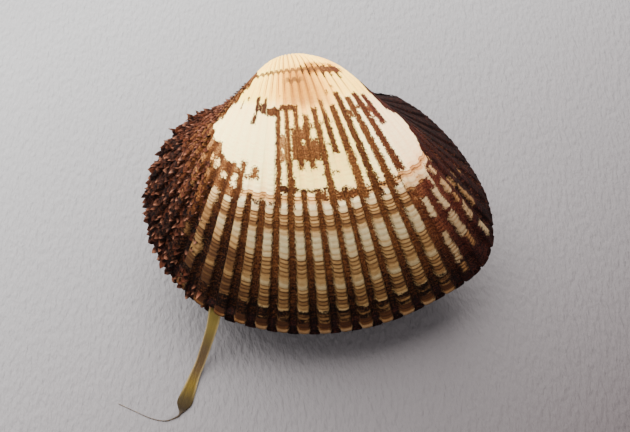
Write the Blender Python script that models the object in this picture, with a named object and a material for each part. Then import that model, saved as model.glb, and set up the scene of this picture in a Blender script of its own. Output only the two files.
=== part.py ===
"""Ark shell, closed and lying on its right valve, with its byssus trailing from the gape.

Shell axes: +X to the back end, +Y to the hinge, +Z out through the left valve. The shell is then
tipped onto its belly, so that in the finished part +Z is up. Lengths are in metres.
"""

import math

import bmesh
import bpy
import numpy as np
from mathutils import Matrix, Vector

MM = 0.001

# The margin of one valve in millimetres, from the front end of the hinge round to the back end
OUTLINE = (
    (-13.8, 0.0), (-17.8, -3.0), (-21.3, -8.3), (-22.4, -14.5), (-20.6, -21.3), (-15.1, -28.1),
    (-5.5, -31.9), (5.0, -32.4), (14.3, -30.0), (22.9, -25.2), (24.8, -17.5), (22.2, -9.9),
    (18.2, -4.0), (13.9, 0.0),
)
OUTLINE_STEPS = 1300

# Growth: each older ring of a valve is the margin, turned about the pole and shrunk with the turn
POLE = np.array((-1.35, 2.24, 2.06)) * MM
SHRINK = 0.912
YOUNG_SHRINK = -0.083
YOUNG_TURN = 0.904
BEAK_TURN = 4.2

# Ribs: numbered from the front, with the share of the margin at which some of them stand
RIBS = 33
RIB_NUMBERS = (0, 10, 13, 19, 22, 33)
RIB_SHARES = (0.0, 0.3265, 0.412, 0.578, 0.673, 1.0)
RIB_HEIGHT = 0.62 * MM
LEAN_RIBS = 0.9
LEAN_TURN = 1.4
LEAN_NUMBERS = (0, 10, 14, 29, 33)
LEAN_SHARES = (0.0, -0.3, 1.0, 1.0, 0.0)
CREST_HALF = 0.20
FURROW_HALF = 0.15
HINGE_STEPS = 9

# Rings between the margin and the beak, with fewer columns as the ribs get fine
RINGS = 17
RING_POWER = 1.5
FINE_RINGS = 8
MIDDLE_RINGS = 13
STOP_TURN = 0.038
STOP_DEPTH = 0.30 * MM

# Lumps of scaly skin over the front third, as high as the scales stand
SCALY_RIBS = 8.0
SCALY_FADE = 2.5
SCALE_LIFT = 0.35 * MM
SCALE_BUMP = 0.28 * MM

# Worn places of the left valve: rib number, turn, half widths of both, and how much relief is gone
WORN = ((9.8, 0.84, 3.0, 0.34, 0.8), (23.8, 0.78, 2.2, 0.36, 0.6), (18.0, 0.60, 2.6, 0.13, 0.5))

# Walls and margins
WALL = 2.2 * MM
WALL_CENTRE = np.array((0.9, -15.0)) * MM
INNER_TURNS = (0.0, 0.16, 0.36, 0.62, 0.95, 1.30)
VALVE_GAP = 0.30 * MM
TOOTH = 0.45 * MM
GAPE_RIB = 10.55
GAPE_RIBS = 1.5
GAPE_RISE = 0.62 * MM

# Ligament on the flat strip between the beaks
LIGAMENT_FRONT = -11.5 * MM
LIGAMENT_BACK = 12.0 * MM
LIGAMENT_TURN = 0.52
LIGAMENT_GAP = 0.32 * MM
LIGAMENT_THICK = 0.45 * MM
LIGAMENT_CELLS = (18, 4)

# Byssus: places along it in millimetres on the floor frame, with its width and thickness there
BYSSUS_ROUTE = (
    (-11.1, -6.9, 9.5, 1.8, 0.50),
    (-11.9, -8.9, 8.8, 1.8, 0.50),
    (-12.7, -10.9, 8.0, 1.8, 0.50),
    (-13.2, -12.2, 6.5, 1.7, 0.50),
    (-13.8, -13.1, 4.8, 1.6, 0.50),
    (-14.5, -14.0, 2.8, 1.5, 0.50),
    (-15.4, -15.4, 1.1, 1.4, 0.50),
    (-16.3, -17.0, 0.45, 1.5, 0.50),
    (-17.2, -19.1, 0.27, 1.9, 0.50),
    (-17.8, -20.6, 0.27, 2.1, 0.50),
    (-18.2, -21.6, 0.24, 1.1, 0.44),
    (-18.8, -22.5, 0.20, 0.40, 0.36),
    (-20.5, -22.9, 0.19, 0.34, 0.34),
    (-22.5, -22.3, 0.19, 0.34, 0.34),
    (-24.6, -21.1, 0.19, 0.34, 0.34),
    (-26.8, -19.8, 0.19, 0.30, 0.30),
)
BYSSUS_STATIONS = 34
BYSSUS_SIDES = 8

# How the shell lies: turned about X onto its belly, then about Y, then moved onto the floor, which
# has worn the rib tops flat by this much where it bears
LIE_X = math.radians(19.28)
LIE_Y = math.radians(-1.32)
REST_WEAR = 0.22 * MM
LIE_PLACE = Vector((1.5, 16.05, 17.79)) * MM - Vector((0, 0, REST_WEAR))
LIE = Matrix.Translation(LIE_PLACE) @ Matrix.Rotation(LIE_Y, 4, "Y") @ Matrix.Rotation(LIE_X, 4, "X")


def catmull(points, steps):
    """A smooth curve through the points, as an array, with about so many steps."""
    points = np.array(points, float)
    ends = 2 * points[[0, -1]] - points[[1, -2]]
    points = np.vstack([ends[:1], points, ends[1:]])
    spans = len(points) - 3
    t = np.linspace(0, 1, steps // spans, endpoint=False)[:, None]
    curve = []
    for i in range(spans):
        a, b, c, d = points[i : i + 4]
        curve.append(0.5 * (2 * b + (c - a) * t + (2 * a - 5 * b + 4 * c - d) * t**2
                            + (3 * b - a - 3 * c + d) * t**3))
    return np.vstack(curve + [points[-2:-1]])


def even(curve, count):
    """The curve read at equal steps of its length."""
    along = np.r_[0, np.cumsum(np.linalg.norm(np.diff(curve, axis=0), axis=1))]
    wanted = np.linspace(0, along[-1], count)
    return np.stack([np.interp(wanted, along, curve[:, i]) for i in range(curve.shape[1])], 1)


MARGIN = even(catmull(OUTLINE, OUTLINE_STEPS), OUTLINE_STEPS) * MM


def margin_at(rib):
    """Points of the flat margin at these rib numbers."""
    share = np.interp(rib, RIB_NUMBERS, RIB_SHARES)
    steps = np.linspace(0, 1, OUTLINE_STEPS)
    return np.stack([np.interp(share, steps, MARGIN[:, i]) for i in range(2)], -1)


def size_at(turn):
    """Size of the ring at this turn from the margin, where the margin's is 1."""
    return np.exp(-SHRINK * turn - YOUNG_SHRINK * (1 - np.exp(-turn / YOUNG_TURN)))


def grown(flat, turn):
    """Places that points of the margin plane had in the ring at this turn."""
    x = flat[..., 0] - POLE[0]
    y = flat[..., 1] - POLE[1]
    z = -POLE[2]
    cos = np.cos(turn)
    sin = np.sin(turn)
    ring = np.stack([x, y * cos + z * sin, z * cos - y * sin], -1)
    return ring * size_at(turn) + POLE


def smooth_valve(rib, turn):
    """Points of the left valve without its relief. Most ribs lean to the front near the beak."""
    lean = LEAN_RIBS * (1 - np.exp(-((turn / LEAN_TURN) ** 2)))
    share = np.interp(rib, LEAN_NUMBERS, LEAN_SHARES)
    return grown(margin_at(rib - lean * share), turn)


def outward(rib, turn):
    """Unit vectors straight out of the smooth left valve."""
    step = 0.01
    across = smooth_valve(rib + step, turn) - smooth_valve(rib - step, turn)
    along = smooth_valve(rib, turn + step) - smooth_valve(rib, turn)
    normal = np.cross(across, along)
    return normal / np.linalg.norm(normal, axis=-1, keepdims=True)


def end_fade(rib):
    """0 at both ends of the hinge, 1 from one rib on."""
    return np.clip(np.minimum(rib, RIBS - rib), 0, 1)


def rib_profile(rib, crest):
    """1 on the flat tops of the ribs and 0 in the furrows, where crest is a rib top's number."""
    off = np.abs((rib - crest + 0.5) % 1 - 0.5)
    return np.clip((0.5 - FURROW_HALF - off) / (0.5 - FURROW_HALF - CREST_HALF), 0, 1)


def worn(rib, turn):
    """How much of the relief is worn away, from 0 to 1."""
    left = np.ones_like(rib)
    for place, middle, half_ribs, half_turn, depth in WORN:
        far = np.hypot((rib - place) / half_ribs, (turn - middle) / half_turn)
        left = left * (1 - depth * np.clip(1.6 - far, 0, 1))
    return 1 - left


def scaly(rib):
    return np.clip((SCALY_RIBS + SCALY_FADE - rib) / SCALY_FADE, 0, 1)


def relief(rib, turn, ring, crest):
    """Height of ribs and scaly lumps over the smooth valve."""
    size = size_at(turn)
    profile = rib_profile(rib, crest)
    wear = worn(rib, turn) if crest else 0
    height = RIB_HEIGHT * size**0.8 * profile * (1 - wear)
    side = 1 if ring % 2 else -1
    lumps = SCALE_LIFT + SCALE_BUMP * side * np.cos(np.pi * np.floor(rib - crest + 0.5)) * profile
    height = height + scaly(rib) * lumps * size**0.5 * (turn > 0)
    if math.isclose(turn, STOP_TURN):
        height = height - STOP_DEPTH
    return height * end_fade(rib)


def teeth(rib):
    """Height of the zigzag along which the two margins meet."""
    return TOOTH * np.cos(2 * np.pi * rib) * end_fade(rib)


def gape(rib):
    """How far each margin stands back from the other to let the byssus out."""
    return GAPE_RISE * np.clip(1.4 * (1 - ((rib - GAPE_RIB) / GAPE_RIBS) ** 2), 0, 1)


def fine_columns(crest):
    """Rib numbers of the four edges of each rib, and of the ends of the hinge."""
    corners = [crest + side * half for half in (CREST_HALF, 0.5 - FURROW_HALF) for side in (-1, 1)]
    ribs = {round(number + corner, 4) for number in range(-1, RIBS + 1) for corner in corners}
    return np.array([0.0] + sorted(rib for rib in ribs if 0.01 < rib < RIBS - 0.01) + [RIBS])


def hinge_line(steps):
    """Points of the straight hinge between its two ends, from the back end to the front."""
    back, front = margin_at(np.array((RIBS, 0.0)))
    share = np.linspace(0, 1, steps + 1)[1:-1, None]
    return back + (front - back) * share


def outer_ring(ribs, turn, ring, crest, hinge_steps):
    height = relief(ribs, turn, ring, crest)[:, None]
    points = smooth_valve(ribs, turn) + outward(ribs, turn) * height
    return np.vstack([points, grown(hinge_line(hinge_steps), turn)])


def inner_ring(ribs, turn, hinge_steps):
    """A ring of the cavity, the wall's thickness inside the outer one at the same turn."""
    flat = np.vstack([margin_at(ribs), hinge_line(hinge_steps)])
    arm = flat - WALL_CENTRE
    reach = np.linalg.norm(arm, axis=1, keepdims=True)
    return grown(WALL_CENTRE + arm * (1 - WALL / size_at(turn) / reach), turn)


def outer_rings(crest):
    """The rings of the outside from the beak to the margin."""
    fine = fine_columns(crest)
    turns = [BEAK_TURN * (i / RINGS) ** RING_POWER for i in range(RINGS + 1)]
    turns.insert(1, STOP_TURN)
    rings = []
    for number, turn in enumerate(turns):
        if number <= FINE_RINGS:
            rings.append(outer_ring(fine, turn, number, crest, HINGE_STEPS))
        elif number <= MIDDLE_RINGS:
            ribs = np.arange(0, RIBS + 0.25, 0.5)
            rings.append(outer_ring(ribs, turn, number, crest, HINGE_STEPS // 2 + 1))
        else:
            ribs = np.arange(0, RIBS + 0.5, 1.0)
            rings.append(outer_ring(ribs, turn, number, crest, HINGE_STEPS // 4 + 1))
    rings[0][: len(fine), 2] += teeth(fine) + gape(fine)
    return rings[::-1]


def inner_rings():
    ribs = np.arange(0, RIBS + 0.25, 0.5)
    rings = [inner_ring(ribs, turn, HINGE_STEPS // 2 + 1) for turn in INNER_TURNS]
    rings[0][: len(ribs), 2] += gape(ribs)
    return rings


def add_ring(bm, points):
    """A closed loop of edges through the points."""
    verts = [bm.verts.new(point) for point in points]
    return [bm.edges.new((a, b)) for a, b in zip(verts, verts[1:] + verts[:1])]


def loft(name, rings, material):
    """One closed solid through the rings, with its two ends filled."""
    bm = bmesh.new()
    loops = [add_ring(bm, ring) for ring in rings]
    for before, after in zip(loops, loops[1:]):
        bmesh.ops.bridge_loops(bm, edges=before + after)
    for end in (loops[0], loops[-1]):
        bmesh.ops.edgeloop_fill(bm, edges=end)
    bmesh.ops.triangulate(bm, faces=bm.faces[:])
    bmesh.ops.recalc_face_normals(bm, faces=bm.faces[:])
    return finish(name, bm, material)


def finish(name, bm, material):
    mesh = bpy.data.meshes.new(name)
    bm.to_mesh(mesh)
    bm.free()
    mesh.materials.append(material)
    mesh.shade_smooth()
    mesh.set_sharp_from_angle(angle=math.radians(40))
    obj = bpy.data.objects.new(name, mesh)
    bpy.context.scene.collection.objects.link(obj)
    return obj


def make_material(name, colour, roughness):
    material = bpy.data.materials.new(name)
    material.use_nodes = True
    shader = material.node_tree.nodes["Principled BSDF"]
    shader.inputs["Base Color"].default_value = (*colour, 1)
    shader.inputs["Roughness"].default_value = roughness
    shader.inputs["Metallic"].default_value = 0
    return material


def make_left_valve(shell):
    """The upper valve, whose ribs stand at the half numbers."""
    rings = outer_rings(0.5) + inner_rings()
    for ring in rings:
        ring[:, 2] += VALVE_GAP / 2
    valve = loft("left_valve", rings, make_material("worn_shell", (0.60, 0.44, 0.27), 0.55))
    valve.parent = shell
    return valve


def wear_flat(ring):
    """Raises the points of a ring that would lie below the floor to it."""
    up = np.array(LIE.to_3x3())[2]
    depth = np.minimum(ring @ up + LIE_PLACE.z, 0)
    ring -= depth[:, None] * up


def make_right_valve(shell):
    """The lower valve: the mirror of the upper one, with its ribs in the other's furrows."""
    rings = outer_rings(0.0) + inner_rings()
    ribs = fine_columns(0.0)
    rings[RINGS + 1][: len(ribs), 2] -= 2 * teeth(ribs)
    for ring in rings:
        ring[:, 2] = -ring[:, 2] - VALVE_GAP / 2
        wear_flat(ring)
    valve = loft("right_valve", rings, make_material("dark_shell", (0.20, 0.11, 0.06), 0.7))
    valve.parent = shell
    return valve


def make_ligament(shell):
    """A thin lens on the flat strip between the beaks, bent to its shallow groove."""
    bm = bmesh.new()
    bmesh.ops.create_grid(bm, x_segments=LIGAMENT_CELLS[0], y_segments=LIGAMENT_CELLS[1], size=1)
    middle = (LIGAMENT_FRONT + LIGAMENT_BACK) / 2
    half = (LIGAMENT_BACK - LIGAMENT_FRONT) / 2
    for vert in bm.verts:
        turn = LIGAMENT_TURN * vert.co.y * math.sqrt(1.02 - vert.co.x**2)
        flat = np.array((middle + half * vert.co.x, 0.0))
        place = grown(flat, abs(turn))
        vert.co = (place[0], place[1] + LIGAMENT_GAP, math.copysign(place[2], turn))
    bmesh.ops.recalc_face_normals(bm, faces=bm.faces[:])
    bmesh.ops.solidify(bm, geom=bm.faces[:], thickness=LIGAMENT_THICK)
    lowest = min(vert.co.y for vert in bm.verts)
    bmesh.ops.translate(bm, verts=bm.verts[:], vec=(0, max(0.0, LIGAMENT_GAP - lowest), 0))
    bmesh.ops.triangulate(bm, faces=bm.faces[:])
    bmesh.ops.recalc_face_normals(bm, faces=bm.faces[:])
    ligament = finish("ligament", bm, make_material("ligament", (0.03, 0.02, 0.015), 0.6))
    ligament.parent = shell
    return ligament


def byssus_rings():
    """Flat oval sections across the smooth route."""
    path = catmull(BYSSUS_ROUTE, BYSSUS_STATIONS * 8)
    path = even(path, BYSSUS_STATIONS) * MM
    forward = np.gradient(path[:, :3], axis=0)
    rings = []
    for place, ahead in zip(path, forward):
        ahead = Vector(ahead).normalized()
        side = ahead.cross(Vector((0, 0, 1))).normalized()
        above = side.cross(ahead)
        ring = []
        for corner in range(BYSSUS_SIDES):
            angle = 2 * math.pi * (corner + 0.5) / BYSSUS_SIDES
            across = side * (place[3] / 2 * math.cos(angle))
            ring.append(Vector(place[:3]) + across + above * (place[4] / 2 * math.sin(angle)))
        rings.append(ring)
    return rings


def make_byssus():
    return loft("byssus", byssus_rings(), make_material("byssus", (0.16, 0.11, 0.05), 0.6))


def main():
    for obj in list(bpy.data.objects):
        bpy.data.objects.remove(obj)
    shell = bpy.data.objects.new("shell", None)
    shell.matrix_world = LIE
    bpy.context.scene.collection.objects.link(shell)
    make_left_valve(shell)
    make_right_valve(shell)
    make_ligament(shell)
    make_byssus()
    bpy.context.view_layer.update()


main()
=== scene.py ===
"""Looks of an ark shell that lies closed on its right valve, with its byssus trailing from the gape.

A place on a valve is given by its rib number, counted from the front end of the hinge, and its turn,
the angle in radians that the shell has grown since. Shell axes: +X to the back end, +Y to the hinge,
+Z out through the left valve. Lengths are in metres.
"""

import math

import bmesh
import bpy
import numpy as np
from mathutils import Matrix, Vector


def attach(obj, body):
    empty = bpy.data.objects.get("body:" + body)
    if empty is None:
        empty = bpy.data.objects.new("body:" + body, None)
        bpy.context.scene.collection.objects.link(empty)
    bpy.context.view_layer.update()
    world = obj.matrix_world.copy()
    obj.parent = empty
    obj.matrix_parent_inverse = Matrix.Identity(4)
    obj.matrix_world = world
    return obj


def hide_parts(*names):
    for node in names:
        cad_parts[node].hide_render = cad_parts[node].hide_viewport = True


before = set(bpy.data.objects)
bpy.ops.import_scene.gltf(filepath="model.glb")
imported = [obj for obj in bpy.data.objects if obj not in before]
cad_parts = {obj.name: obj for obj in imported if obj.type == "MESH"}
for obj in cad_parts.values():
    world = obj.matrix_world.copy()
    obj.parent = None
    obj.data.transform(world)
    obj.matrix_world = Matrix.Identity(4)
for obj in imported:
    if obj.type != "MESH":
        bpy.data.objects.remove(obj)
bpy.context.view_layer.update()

MM = 0.001

# The form of a valve, as the solids have it: its margin in millimetres from one end of the hinge to the
# other, the pole that it grows round, and how fast it shrinks with its turn
OUTLINE = (
    (-13.8, 0.0), (-17.8, -3.0), (-21.3, -8.3), (-22.4, -14.5), (-20.6, -21.3), (-15.1, -28.1),
    (-5.5, -31.9), (5.0, -32.4), (14.3, -30.0), (22.9, -25.2), (24.8, -17.5), (22.2, -9.9),
    (18.2, -4.0), (13.9, 0.0),
)
OUTLINE_STEPS = 1300
POLE = np.array((-1.35, 2.24, 2.06)) * MM
SHRINK = 0.912
YOUNG_SHRINK = -0.083
YOUNG_TURN = 0.904
BEAK_TURN = 4.2
# Ribs, with their share of the margin's length at some of them
RIBS = 33
RIB_NUMBERS = (0, 10, 13, 19, 22, 33)
RIB_SHARES = (0.0, 0.3265, 0.412, 0.578, 0.673, 1.0)
RIB_HEIGHT = 0.62 * MM
# Where the first rib top lies on each valve, so that the ribs of one meet the furrows of the other
LEFT_CREST = 0.5
RIGHT_CREST = 0.0
# How far the ribs lean to the front near the beak, and which of them do
LEAN_RIBS = 0.9
LEAN_TURN = 1.4
LEAN_NUMBERS = (0, 10, 14, 29, 33)
LEAN_SHARES = (0.0, -0.3, 1.0, 1.0, 0.0)
# The smooth inside, the gap between the valves, the waves of their margins and the gape in them
WALL = 2.2 * MM
WALL_CENTRE = np.array((0.9, -15.0)) * MM
INNER_TURNS = (0.0, 0.08, 0.2, 0.36, 0.56, 0.8, 1.05, 1.30)
INNER_TURN = 0.05
VALVE_GAP = 0.30 * MM
TOOTH = 0.45 * MM
GAPE_RIB = 10.55
GAPE_RIBS = 1.5
GAPE_RISE = 0.62 * MM
# How the shell lies on its worn ribs
LIE_X = math.radians(19.28)
LIE_Y = math.radians(-1.32)
REST_WEAR = 0.22 * MM
LIE_PLACE = Vector((1.5, 16.05, 17.79)) * MM - Vector((0, 0, REST_WEAR))
LIE = Matrix.Translation(LIE_PLACE) @ Matrix.Rotation(LIE_Y, 4, "Y") @ Matrix.Rotation(LIE_X, 4, "X")

# One radian of growth is as long as this many rib pitches, at any size
PITCHES_A_TURN = 15.3

# What the valves' fields hold on the smooth inside, where they aren't 0
INSIDE = {"dark": 0.9, "red": 0.3, "tone": 0.25, "cream": 0.3}

# Columns of the fine mesh on either side of each rib's middle, and of the flat hinge area
COLUMN_OFFSETS = (0.06, 0.17, 0.235, 0.285, 0.335, 0.42)
HINGE_COLUMNS = 24
HINGE_PITCHES = 4.0
CREST_HALF = 0.235
FURROW_HALF = 0.155

# Growth steps from the margin up: the turn where each begins, its tone where it is bare, from white at 0
# to dark tan at 1, and the darkness of the line at its upper end: partly a dark growth line, partly
# painted shadow under the raised edge of the next step
GROWTH_STEPS = (
    (0.0, 0.35, 0.3), (0.018, 0.85, 0.6), (0.036, 0.95, 0.9), (0.052, 0.7, 0.6), (0.066, 0.75, 0.9),
    (0.08, 0.85, 0.5), (0.092, 0.4, 0.7), (0.112, 0.62, 0.8), (0.127, 0.76, 0.8), (0.142, 0.56, 0.8),
    (0.157, 0.66, 0.8), (0.171, 0.48, 0.6), (0.185, 0.3, 0.3), (0.211, 0.5, 0.4), (0.236, 0.6, 0.6),
    (0.252, 0.5, 0.8), (0.268, 0.62, 0.8), (0.284, 0.54, 0.9), (0.3, 0.26, 0.4), (0.325, 0.18, 0.35),
    (0.35, 0.15, 0.35), (0.376, 0.2, 0.4), (0.401, 0.42, 0.5), (0.421, 0.8, 0.6), (0.438, 0.62, 0.6),
    (0.451, 0.45, 0.9), (0.465, 0.6, 0.9), (0.481, 0.18, 0.3), (0.506, 0.08, 0.3), (0.533, 0.45, 0.7),
    (0.549, 0.45, 0.7), (0.563, 0.1, 0.2),
)
# Their pitch further up, the rows of mesh in each, and the plainer rows nearer to the beak
STEP_TURN = 0.027
STEP_ROWS = (0.0, 0.45, 0.84)
STEPPED_TURN = 0.80
PLAIN_TURN = 1.75
PLAIN_PITCH = 0.0225
BEAK_PITCH = 0.06
# Height of a step's edge, how far it bends down over a rib top, and how much its upper end is darker,
# as painted shadow under the raised edge of the step above
LAMELLA = 0.08 * MM
CREST_BEND = 0.009
STEP_PAINTED_SHADOW = 0.13
# Waves of the growth lines, in turn, and the unevenness of the surface, broad and fine
LINE_WAVES = (0.004, 0.003)
BUMPS = (0.02 * MM, 0.015 * MM)
# The ribs between which matted skin comes to fill the furrows, and the share that it fills
MATTED_RIBS = (24.5, 26.5)
MATTED = 0.62

# Darkness of the skin by turn: over the middle, the front, the back and the far back of a valve
MIDDLE_DARK = (
    (0.0, 0.97), (0.09, 0.95), (0.14, 0.82), (0.22, 0.66), (0.32, 0.56), (0.45, 0.54), (0.6, 0.44),
    (1.3, 0.42),
)
FRONT_DARK = (
    (0.0, 0.97), (0.2, 0.92), (0.3, 0.8), (0.42, 0.58), (0.5, 0.48), (0.7, 0.42), (1.2, 0.5),
)
BACK_DARK = (
    (0.0, 0.95), (0.1, 0.85), (0.2, 0.58), (0.45, 0.4), (0.6, 0.6), (1.2, 0.7),
)
FAR_BACK_DARK = (
    (0.0, 0.99), (0.1, 0.95), (0.4, 0.86), (0.6, 0.76), (0.8, 0.64), (1.2, 0.78),
)
# Where the skin crosses the rib tops: up to a rib number by turn at the front, from one at the back, and
# in two narrow bands by the margin: the turn of each middle and half its width
COVERED_FRONT = ((0.0, 8.0), (0.494, 8.0), (0.504, 10.35), (0.8, 10.35))
COVERED_BACK = 21.9
COVERED_BANDS = ((0.082, 0.009), (0.052, 0.007))

# Worn places of the left valve: rib number, turn, half widths of both, and how much relief is gone
WORN_LEFT = (
    (9.6, 0.84, 3.0, 0.32, 0.85), (24.0, 0.78, 2.2, 0.36, 0.6), (17.6, 0.63, 2.0, 0.1, 0.6),
    (15.5, 0.63, 1.6, 0.08, 0.6),
)
WORN_RIGHT = ((15.0, 0.95, 7.0, 0.40, 0.7),)

# Where the brown skin of the left valve begins: rib number and turn along its ragged upper edge
SKIN_EDGE_LEFT = (
    (0.0, 0.76), (6.2, 0.76), (6.3, 0.728), (7.05, 0.725), (7.2, 0.738), (7.74, 0.738), (7.8, 0.685),
    (8.6, 0.665), (9.12, 0.66), (9.2, 0.676), (9.42, 0.676), (9.5, 0.652), (9.9, 0.645), (10.3, 0.56),
    (10.7, 0.545), (11.3, 0.53), (12.85, 0.52), (12.9, 0.6), (14.4, 0.6), (14.6, 0.582), (16.7, 0.578),
    (16.9, 0.568), (18.2, 0.56), (20.0, 0.552), (21.8, 0.545), (21.9, 0.465), (23.9, 0.485), (24.5, 0.52),
    (25.0, 0.57), (26.0, 0.65), (26.6, 0.7), (27.2, 0.8), (33.0, 0.9),
)
# The front and back ends of the bare zone higher up: turn and rib number
FRONT_EDGE_LEFT = (
    (0.7, 5.3), (0.78, 5.45), (0.86, 5.75), (0.94, 6.0), (1.0, 6.3), (1.05, 6.6), (1.1, 6.95), (1.2, 7.4),
    (1.3, 7.9), (1.38, 8.2), (1.45, 8.8), (1.55, 8.2), (1.8, 6.0), (2.4, 3.0), (4.2, 1.0),
)
BACK_EDGE_LEFT = (
    (0.6, 29.0), (0.74, 27.4), (0.82, 26.1), (0.9, 25.1), (1.0, 24.7), (1.1, 24.35), (1.3, 24.6),
    (1.6, 26.0), (2.2, 29.0), (4.2, 31.0),
)
# Strips of skin left in the furrows above that edge: rib number, half width, turns of both ends, darkness
STRIPS_LEFT = (
    (13.1, 0.275, 0.5, 1.05, 0.52), (14.05, 0.255, 0.5, 1.06, 0.48), (15.02, 0.255, 0.68, 1.07, 0.48),
    (15.95, 0.285, 0.68, 1.0, 0.45), (17.0, 0.295, 0.5, 1.045, 0.48), (18.03, 0.265, 0.74, 1.0, 0.6),
    (18.03, 0.225, 0.99, 1.1, 0.35), (19.1, 0.305, 0.74, 1.05, 0.55), (19.15, 0.305, 0.5, 0.75, 0.42),
    (20.1, 0.275, 0.5, 1.15, 0.62), (21.12, 0.275, 0.5, 1.1, 0.5), (22.15, 0.295, 0.57, 1.13, 0.5),
    (23.1, 0.285, 0.84, 1.11, 0.5), (10.08, 0.22, 0.5, 0.7, 0.45), (11.12, 0.28, 0.615, 0.68, 0.3),
    (10.2, 0.3, 1.02, 1.165, 0.72), (10.16, 0.27, 0.93, 1.0, 0.72), (11.2, 0.36, 1.01, 1.1, 0.72),
    (11.34, 0.22, 1.08, 1.145, 0.62), (8.1, 0.12, 1.03, 1.13, 0.5), (8.78, 0.1, 1.12, 1.16, 0.3),
    (19.18, 0.08, 1.14, 1.19, 0.3), (20.06, 0.08, 1.2, 1.24, 0.3), (13.2, 0.07, 1.14, 1.16, 0.3),
    (17.9, 0.16, 1.36, 1.6, 0.8), (18.92, 0.18, 1.35, 1.6, 0.78), (19.92, 0.2, 1.32, 1.6, 0.8),
    (20.95, 0.22, 1.34, 1.6, 0.76), (21.97, 0.25, 1.31, 1.6, 0.8), (16.95, 0.14, 1.4, 1.55, 0.7),
    (11.25, 0.2, 1.42, 1.48, 0.55), (10.35, 0.2, 1.43, 1.47, 0.55), (13.2, 0.16, 1.43, 1.47, 0.5),
    (9.3, 0.2, 0.648, 0.676, 0.45),
)
# Patches of skin that cross the ribs: rib numbers and turns of their ends, darkness
PATCHES_LEFT = (
    (14.35, 16.75, 0.72, 0.91, 0.4), (13.1, 14.2, 0.72, 0.86, 0.15), (16.0, 17.1, 0.752, 0.8, 0.45),
    (16.0, 17.75, 0.795, 0.808, 0.55), (11.55, 13.2, 0.995, 1.06, 0.58), (13.2, 15.35, 1.03, 1.075, 0.6),
    (10.4, 10.95, 1.03, 1.09, 0.72), (12.92, 14.5, 0.568, 0.606, 0.66), (13.9, 14.5, 0.6, 0.646, 0.55),
    (22.2, 23.25, 0.9, 1.0, 0.35), (10.3, 11.5, 0.613, 0.635, 0.35), (16.5, 17.9, 0.646, 0.654, 0.4),
    (15.75, 16.6, 0.53, 0.572, 0.45), (17.2, 19.0, 0.522, 0.562, 0.5), (19.7, 23.15, 1.39, 1.5, 0.45),
    (20.2, 20.9, 0.93, 0.99, 0.45), (14.3, 16.8, 0.572, 0.588, 0.7), (16.7, 18.3, 0.556, 0.572, 0.7),
    (18.0, 20.2, 0.547, 0.56, 0.65), (18.0, 20.0, 0.522, 0.536, 0.6), (20.0, 21.9, 0.538, 0.55, 0.55),
    (11.0, 12.9, 0.51, 0.524, 0.55), (21.9, 22.8, 0.4, 0.465, 0.25), (20.8, 22.4, 0.99, 1.02, 0.4),
    (16.0, 18.6, 0.925, 0.935, 0.3),
)
# Thin dark growth lines of the umbo: turn, and the rib numbers of their ends
UMBO_LINES = ((1.449, 7.0, 21.0), (1.310, 13.4, 17.4))
# Bare spots within the patches: rib number, turn and half widths of both
SPOTS_LEFT = (
    (14.5, 0.95, 0.2, 0.03), (15.45, 0.82, 0.25, 0.014), (16.4, 0.87, 0.28, 0.035),
    (15.45, 0.94, 0.22, 0.03), (13.6, 0.88, 0.2, 0.018), (22.5, 0.92, 0.25, 0.01),
    (13.6, 0.665, 0.22, 0.04), (13.55, 0.78, 0.1, 0.012),
)
# Bare marks on the rib tops of the covered ends: rib numbers and turns of their ends, tone
MARKS_LEFT = (
    (7.72, 7.98, 0.583, 0.64, 0.25), (8.55, 8.92, 0.56, 0.59, 0.25), (9.45, 9.8, 0.556, 0.612, 0.15),
    (7.05, 7.35, 0.6, 0.64, 0.45), (8.32, 8.8, 0.42, 0.5, 0.4), (8.36, 8.76, 0.335, 0.385, 0.7),
    (8.45, 8.78, 0.18, 0.25, 0.6), (6.62, 6.92, 0.395, 0.45, 0.7), (6.2, 6.5, 0.28, 0.33, 0.8),
    (7.55, 7.8, 0.2, 0.26, 0.75), (8.45, 8.65, 0.032, 0.046, 0.35), (22.3, 22.68, 0.31, 0.405, 0.15),
    (22.34, 22.64, 0.1, 0.235, 0.22), (22.38, 22.66, 0.035, 0.085, 0.6), (23.55, 23.75, 0.42, 0.5, 0.1),
    (23.28, 23.62, 0.31, 0.41, 0.12), (23.25, 23.62, 0.165, 0.29, 0.12), (23.4, 23.6, 0.1, 0.16, 0.55),
    (24.2, 24.42, 0.44, 0.492, 0.25), (24.18, 24.5, 0.32, 0.4, 0.3), (24.3, 24.52, 0.265, 0.3, 0.5),
    (24.26, 24.62, 0.165, 0.24, 0.22), (24.42, 24.86, 0.045, 0.112, 0.05),
    (25.04, 25.22, 0.275, 0.355, 0.4), (25.2, 25.42, 0.14, 0.265, 0.4), (25.84, 26.02, 0.255, 0.302, 0.35),
    (24.88, 25.02, 0.47, 0.505, 0.35), (26.6, 26.78, 0.19, 0.23, 0.55), (21.2, 21.74, 0.3, 0.392, 0.2),
)
# Tone of the bare shell above the growth steps: turn, tone
HIGH_TONES = (
    (0.56, 0.06), (0.75, 0.03), (1.0, 0.14), (1.08, 0.34), (1.2, 0.46), (1.42, 0.44), (1.5, 0.22),
    (2.2, 0.2), (4.2, 0.42),
)
# Painted shade that darkens the bare shell of the lower part, which faces away from the light: turn, share
LOW_PAINTED_SHADE = (
    (0.0, 0.8), (0.03, 0.84), (0.05, 0.82), (0.15, 0.82), (0.25, 0.8), (0.33, 0.74), (0.42, 0.7),
    (0.49, 0.5), (0.56, 0.07), (0.6, 0.0),
)
# Half the width of a bare rib top in the lower part, by rib number, and how far it lies to one side
TOP_HALVES = (
    (6.0, 0.2), (8.5, 0.23), (10.5, 0.27), (13.0, 0.28), (18.0, 0.305), (21.0, 0.27), (22.0, 0.24),
)
TOP_SHIFT = 0.035
# Painted shade in the furrows under the scales: how much darker they are than the rib tops
FURROW_PAINTED_SHADE = 0.34
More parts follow.
